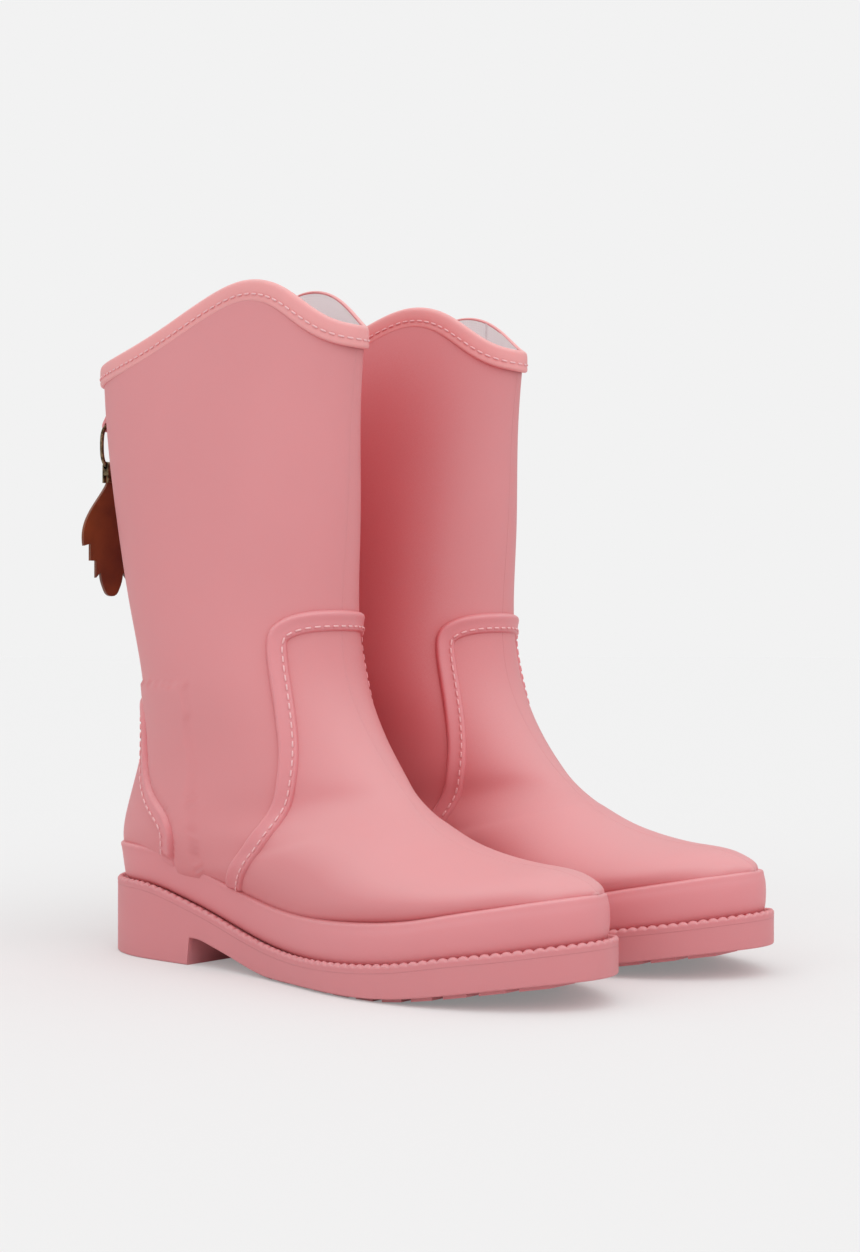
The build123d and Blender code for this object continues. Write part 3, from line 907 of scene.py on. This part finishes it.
def toplineWalk():
    # round the mouth: a place on the topline, the way out and the way up
    dense = [formPoint(toplineAt(a), a) for a in fullTurn(bindingLook["samples"])]
    even = evenly(dense, bindingLook["step"], closed=True)
    walk = []
    for i, p in enumerate(even):
        ahead = Vector(even[(i + 1) % len(even)] - even[i - 1]).normalized()
        _, out = skin.nearest(p)
        out = Vector((out.x, out.y, 0)).normalized()
        up = out.cross(ahead)
        if up.z < 0:
            up = -up
        walk.append((Vector(p), out, up.normalized(), ahead))
    return walk


mouthWalk = toplineWalk()
bindingRows = [[at + out * o + up * u for o, u in roundedSteps(bindingLook["profile"], 1)]
               for at, out, up, ahead in mouthWalk]
for boot in boots:
    rowsPiece(boot, "TopBinding", bindingRows, pinkBinding, "pink_rubber_trim", closed=True,
              replaced=["top_binding"])


def bindingStitches(boot):
    line = [at + out * bindingLook["stitchLift"] - up * bindingLook["stitchDown"]
            for at, out, up, ahead in mouthWalk]
    even = evenly(line, stitchLook["pitch"], closed=True)
    verts, faces = [], []
    for i in range(len(even)):
        here, following = Vector(even[i]), Vector(even[(i + 1) % len(even)])
        nearest = min(range(len(line)), key=lambda k: (line[k] - here).length_squared)
        up = mouthWalk[nearest][1]
        run = (following - here).normalized()
        addCapsule(verts, faces, (here + following) / 2, run, up.cross(run).normalized(), up)
    meshPiece(boot, "BindingStitches", verts, faces, pinkStitch, "pink_rubber_trim")


for boot in boots:
    bindingStitches(boot)
print("bindings made")


# foxing and welt, swept round the sole's outline
solePath = dict(
    outlineSamples=2400,
    step=0.42,               # mm between the places round the outline
    foxingStep=2.0,
    # out from the outline and up from the welt's top, at the heel and at the toe
    foxingHeel=[(-6.0, -0.8), (-4.0, 0.4), (-3.5, 2.0), (-3.1, 4.5), (-2.6, 8.0), (-2.1, 12.0), (-1.7, 14.1),
                (-1.4, 15.1), (-1.5, 15.9), (-2.2, 16.4), (-3.4, 16.6), (-7.0, 16.6)],
    foxingToe=[(-6.0, -0.8), (-4.2, 0.4), (-3.7, 2.0), (-3.4, 4.5), (-3.3, 8.0), (-3.5, 11.6), (-4.1, 13.8),
               (-4.3, 14.9), (-4.6, 15.9), (-5.5, 16.4), (-7.0, 16.6), (-10.5, 16.4)],
    foxingTurn=(60, 200),    # s where the heel's shape goes over into the toe's
    toeGrowth=(205, 270, 0.11),   # from s to s it gets this share taller
    # out from the outline and up from the welt's top
    welt=[(-7.5, -1.2), (-4.6, -0.8), (-2.9, -0.6), (-2.5, 0.25), (-1.5, 0.8), (-0.6, 0.55), (0.05, -0.35),
          (0.1, -1.3), (0.0, -1.9), (0.04, -2.5), (0.04, -3.0), (-0.5, -3.3)],
    weltBumps={3: 0.8, 4: 1.0, 5: 1.0, 6: 0.7},    # the points of the welt that carry bumps, and how much
    bumpPitch=4.3,
    bumpDepth=1.15,
    bumpLean=0.35,           # the bumps lean forward by this share of their pitch
    bumpRoundness=0.55,      # a lower number gives narrower gaps between them
)


def outlineWalk(step):
    ring = [(0, 0)] + bootForm["lateralEdge"] + [(bootForm["footLength"], 0)] + bootForm["medialEdge"][::-1]
    spare = 4                # places that are gone over twice, so that the ring closes smoothly
    points = np.array(ring[-spare:] + ring + ring[:spare + 1], float)
    knots = np.concatenate([[0], np.cumsum(np.linalg.norm(np.diff(points, axis=0), axis=1))])
    at = np.linspace(knots[spare], knots[spare + len(ring)], solePath["outlineSamples"])
    dense = naturalSpline(knots, points, at)[:-1]
    even = evenly(dense, step, closed=True)
    walk = []
    for i, p in enumerate(even):
        ahead = even[(i + 1) % len(even)] - even[i - 1]
        ahead /= np.linalg.norm(ahead)
        walk.append((p, np.array([-ahead[1], ahead[0]])))
    return walk


def sweptRows(walk, profileAt, bumps=()):
    rows = []
    along = 0
    for i, (p, out) in enumerate(walk):
        row = []
        for k, (o, u) in enumerate(profileAt(p[0])):
            lift = 0
            if k in bumps:
                share = (along / solePath["bumpPitch"] + solePath["bumpLean"] * bumps[k]) % 1
                gap = 1 - math.sin(math.pi * share) ** solePath["bumpRoundness"]
                lift = -solePath["bumpDepth"] * bumps[k] * gap
            at = p + out * o
            row.append(np.array([at[0], at[1], weltTop(at[0]) + u + lift]))
        rows.append(row)
        along += np.linalg.norm(walk[(i + 1) % len(walk)][0] - p)
    return rows


foxingHeel = np.array(roundedSteps(solePath["foxingHeel"], 1))
foxingToe = np.array(roundedSteps(solePath["foxingToe"], 1))


def foxingAt(s):
    start, end = solePath["foxingTurn"]
    share = softStep((s - start) / (end - start))
    profile = foxingHeel * (1 - share) + foxingToe * share
    start, end, growth = solePath["toeGrowth"]
    profile[:, 1] *= 1 + growth * softStep((s - start) / (end - start))
    return profile


weltWalk = outlineWalk(solePath["step"])
foxingRows = sweptRows(outlineWalk(solePath["foxingStep"]), foxingAt)
weltRows = sweptRows(weltWalk, lambda s: solePath["welt"], bumps=solePath["weltBumps"])
for boot in boots:
    rowsPiece(boot, "Foxing", foxingRows, pinkTrim, "pink_rubber_sole", closed=True, flip=True,
              replaced=["foxing_band"])
    rowsPiece(boot, "Welt", weltRows, pinkSole, "pink_rubber_sole", closed=True, flip=True,
              replaced=["welt"])
print("foxing and welts made")


# the outsole: heel block, arched waist and a forefoot with low lugs
outsoleLook = dict(
    heelEnd=72.0,
    breastTop=73.5,
    heelHeight=12.0,
    under=[(73.5, 12.0), (78, 11.9), (86, 10.1), (98.6, 6.8), (112, 3.4), (125, 1.3), (138, 0.9), (160, 0.9),
           (178, 0.9), (192, 1.2), (210.5, 2.7), (228, 5.3), (244.7, 8.0), (262, 10.6), (280, 12.6)],
    underWelt=2.6,           # the walls end this far under the welt's top
    rounding=0.8,
    inset=3.0,               # how far in from the walls the flat underside starts
    ends=3.2,                # and from the ends
    across=8,
    hardAngle=40,            # edges sharper than this aren't shaded smooth
    lugs=dict(first=118, last=259, pitch=13.5, length=9.0, depth=1.4, sunk=0.4, inset=3.2, channel=5.0),
)
underDense = splineThrough(outsoleLook["under"], 300)


def underAt(s):
    if s <= outsoleLook["heelEnd"]:
        return 0.0
    if s < outsoleLook["breastTop"]:
        breast = outsoleLook["breastTop"] - outsoleLook["heelEnd"]
        return outsoleLook["heelHeight"] * (s - outsoleLook["heelEnd"]) / breast
    return float(np.interp(s, underDense[:, 0], underDense[:, 1]))


def soleWalls():
    # the wall from under the welt down to the rounded bottom edge
    marks = [outsoleLook["heelEnd"], outsoleLook["breastTop"]]
    walk = []
    for i, (p, out) in enumerate(weltWalk):
        following = weltWalk[(i + 1) % len(weltWalk)][0]
        walk.append((p, out))
        crossed = [m for m in marks if (p[0] - m) * (following[0] - m) < 0]
        for m in sorted(crossed, key=lambda m: abs(m - p[0])):
            walk.append((p + (following - p) * (m - p[0]) / (following[0] - p[0]), out))
    rows = []
    edge = outsoleLook["rounding"]
    for p, out in walk:
        top, bottom = weltTop(p[0]) - outsoleLook["underWelt"], underAt(p[0])
        profile = [(-0.6, top), (0, top - 0.3), (0, (top + bottom) / 2)]
        profile += [(edge * (math.cos(t) - 1), bottom + edge * (1 - math.sin(t)))
                    for t in [math.pi / 2 * k / 5 for k in range(6)]]
        profile.append((-3.5, bottom))
        rows.append([np.array([p[0] + out[0] * o, p[1] + out[1] * o, z]) for o, z in profile])
    return rows


def halfWidths(s, inset):
    # where the outline, inset, runs on the medial and on the lateral side
    points = np.array([p - out * inset for p, out in weltWalk])
    sides = [points[points[:, 1] * sign > 0] for sign in (-1, 1)]
    return [float(np.interp(s, *side[np.argsort(side[:, 0])].T)) for side in sides]


def soleUnderside():
    ends, across = outsoleLook["ends"], outsoleLook["across"]
    stations = list(np.linspace(ends, outsoleLook["heelEnd"], 30))
    stations += list(np.linspace(outsoleLook["breastTop"], bootForm["footLength"] - ends, 90))
    rows = []
    for s in stations:
        medial, lateral = halfWidths(s, outsoleLook["inset"])
        rows.append([np.array([s, medial + (lateral - medial) * k / across, underAt(s)])
                     for k in range(across + 1)])
    return rows


def soleLugs():
    # low bars across the forefoot, parted along the middle
    look = outsoleLook["lugs"]
    blocks = []
    s = look["first"]
    while s < look["last"]:
        ends = (s, s + look["length"])
        for side in (0, 1):
            outer = [halfWidths(at, look["inset"])[side] for at in ends]
            inner = look["channel"] / 2 * (1 if side else -1)
            corners = [(ends[0], inner), (ends[1], inner), (ends[1], outer[1]), (ends[0], outer[0])]
            blocks.append([np.array([a, w, underAt(a) + look["sunk"]]) for a, w in corners]
                          + [np.array([a, w, max(0, underAt(a) - look["depth"])]) for a, w in corners])
        s += look["pitch"]
    return blocks


def outsolePiece(boot, walls, underside, lugs):
    verts = [p for row in walls for p in row]
    faces = gridFaces(len(walls), len(walls[0]), closeRows=True, flip=True)
    first = len(verts)
    verts += [p for row in underside for p in row]
    faces += [tuple(first + i for i in face) for face in gridFaces(len(underside), len(underside[0]))]
    for block in lugs:
        first = len(verts)
        verts += block
        faces += [tuple(first + i for i in face) for face in
                  [(4, 5, 6, 7), (0, 1, 5, 4), (1, 2, 6, 5), (2, 3, 7, 6), (3, 0, 4, 7)]]
    if boot["side"] == "right":
        faces = [tuple(reversed(face)) for face in faces]
    piece = meshPiece(boot, "Outsole", verts, faces, pinkSole, "pink_rubber_sole", replaced=["outsole"])
    split = piece.modifiers.new("hardEdges", "EDGE_SPLIT")
    split.split_angle = math.radians(outsoleLook["hardAngle"])


walls, underside, lugs = soleWalls(), soleUnderside(), soleLugs()
for boot in boots:
    outsolePiece(boot, walls, underside, lugs)
print("outsoles made")


# the pieces that keep their own shape: their finish, and how far their edges are broken, in mm
solidFinish = dict(
    hang_tab=(pinkTrim, 0.35),
    footbed=(foam, 0.8),
    insole_board=(boardCard, 0),
    shank=(steel, 0.2),
    charm_clip=(brass, 0.3),
    feather_charm=(leather, 0.45),
)


def dressSolid(solid, material, edge):
    solid.data.materials.clear()
    solid.data.materials.append(material)
    if edge:
        bevel = solid.modifiers.new("brokenEdges", "BEVEL")
        bevel.width = edge * mm
        bevel.segments = 3
        bevel.limit_method = "ANGLE"
        bevel.angle_limit = math.radians(38)
        bevel.harden_normals = True


for boot in boots:
    for name, (material, edge) in solidFinish.items():
        dressSolid(bpy.data.objects[boot["side"] + "_" + name], material, edge)


# the ring that hangs from the tab on the back of the shaft
charmLook = dict(
    halfWidth=5.6,
    drop=19.5,
    wire=0.95,
    squareness=(0.62, 0.75),     # across and down; 1 is an ellipse, 0 a rectangle
    segments=96,
    around=16,
)


def powered(value, power):
    return math.copysign(abs(value) ** power, value)


def charmRing(boot):
    look = charmLook
    path = []
    for angle in fullTurn(look["segments"]):
        w = powered(math.cos(angle), look["squareness"][0]) * look["halfWidth"]
        z = (powered(math.sin(angle), look["squareness"][1]) - 1) * look["drop"] / 2
        path.append(Vector((-boot["setback"] / mm, w, boot["ringZ"] / mm + z)))
    rows = []
    beside = Vector((1, 0, 0))
    for k, at in enumerate(path):
        up = (path[(k + 1) % len(path)] - path[k - 1]).normalized().cross(beside)
        rows.append([at + beside * (math.cos(t) * look["wire"]) + up * (math.sin(t) * look["wire"])
                     for t in fullTurn(look["around"])])
    faces = gridFaces(len(rows), look["around"], closeRows=True, closeColumns=True,
                      flip=boot["side"] == "left")
    meshPiece(boot, "Ring", [p for row in rows for p in row], faces, brass, "aged_brass",
              replaced=["charm_ring"], rides="ring")


for boot in boots:
    charmRing(boot)
print("rings made")


# the camera: level, a little above the middle of the boots, seen from the front of the right boot
cameraView = dict(
    heading=40.98,       # degrees between its look and the width of the pair
    height=138.9,
    back=937.0,          # mm behind the right boot's mid plane point, along the look
    aside=-139.7,        # mm to the side of it
    lens=56.43,
    shiftY=0.019,
)


def makeCamera():
    turn = math.radians(cameraView["heading"])
    look = Vector((math.cos(turn), math.sin(turn), 0))
    right = Vector((math.sin(turn), -math.cos(turn), 0))
    middle = Vector((boots[0]["heel"].x, boots[0]["heel"].y, 0))
    data = bpy.data.cameras.new("bootCamera")
    data.lens = cameraView["lens"]
    data.sensor_width = 36
    data.shift_y = cameraView["shiftY"]
    data.clip_start = 0.01
    camera = bpy.data.objects.new("bootCamera", data)
    bpy.context.collection.objects.link(camera)
    camera.location = middle - right * (cameraView["aside"] * mm) - look * (cameraView["back"] * mm)
    camera.location.z = cameraView["height"] * mm
    camera.rotation_mode = "QUATERNION"
    camera.rotation_quaternion = look.to_track_quat("-Z", "Y")
    bpy.context.scene.camera = camera


makeCamera()


# floor, backdrop and soft lamps
studio = dict(
    backdrop=(0.888, 0.888, 0.888),
    floor=(0.735, 0.735, 0.735),
    shownFloor=(0.803, 0.803, 0.803),
    paperGlow=0.25,          # share of the floor's look that no shadow reaches
    horizonLight=0.42,
    zenithLight=1.10,
    # suns, so that the floor is evenly lit: watts per square metre, degrees of softness, direction
    keySun=(0.75, 60, (0.2, 0.75, -1.0)),
    sideSun=(0.25, 40, (0.9, -0.1, -0.5)),
)


def makeWorld():
    world = bpy.data.worlds.new("studioWorld")
    bpy.context.scene.world = world
    tree = Tree(world)
    shade = tree.nodes["Background"]
    shade.inputs["Color"].default_value = (1, 1, 1, 1)
    height = tree.height(tree.coordinates("Generated"))
    light = tree.ranged(height, toLow=studio["horizonLight"], toHigh=studio["zenithLight"])
    tree.link(light, shade.inputs["Strength"])
    plain = tree.add("Background")
    setInputs(plain, {"Color": (*studio["backdrop"], 1), "Strength": 1})
    seen = tree.add("LightPath").outputs["Is Camera Ray"]
    tree.link(tree.mixedShader(seen, shade.outputs[0], plain.outputs[0]),
              tree.nodes["World Output"].inputs["Surface"])


def makeFloor():
    bpy.ops.mesh.primitive_plane_add(size=60, location=(0, 0, 0))
    floor = bpy.context.object
    floor.name = "studioFloor"
    material, tree, inputs = newMaterial("studioPaper", {"Roughness": 1.0, "Specular IOR Level": 0.0})
    seen = tree.add("LightPath").outputs["Is Camera Ray"]
    tree.link(tree.overlaid(seen, studio["floor"], studio["shownFloor"]), inputs["Base Color"])
    glow = tree.add("Emission")
    glow.inputs["Color"].default_value = (*studio["backdrop"], 1)
    glowing = tree.product(seen, studio["paperGlow"])
    paper = tree.nodes["Principled BSDF"].outputs[0]
    tree.link(tree.mixedShader(glowing, paper, glow.outputs[0]),
              tree.nodes["Material Output"].inputs["Surface"])
    floor.data.materials.append(material)


def softSun(name, power, spread, direction):
    data = bpy.data.lights.new(name, "SUN")
    data.energy = power
    data.angle = math.radians(spread)
    lamp = bpy.data.objects.new(name, data)
    bpy.context.collection.objects.link(lamp)
    lamp.rotation_mode = "QUATERNION"
    lamp.rotation_quaternion = Vector(direction).to_track_quat("-Z", "Y")


bpy.context.scene.view_settings.view_transform = "Standard"
makeWorld()
makeFloor()
for name in ("keySun", "sideSun"):
    softSun(name, *studio[name])
print("studio set")
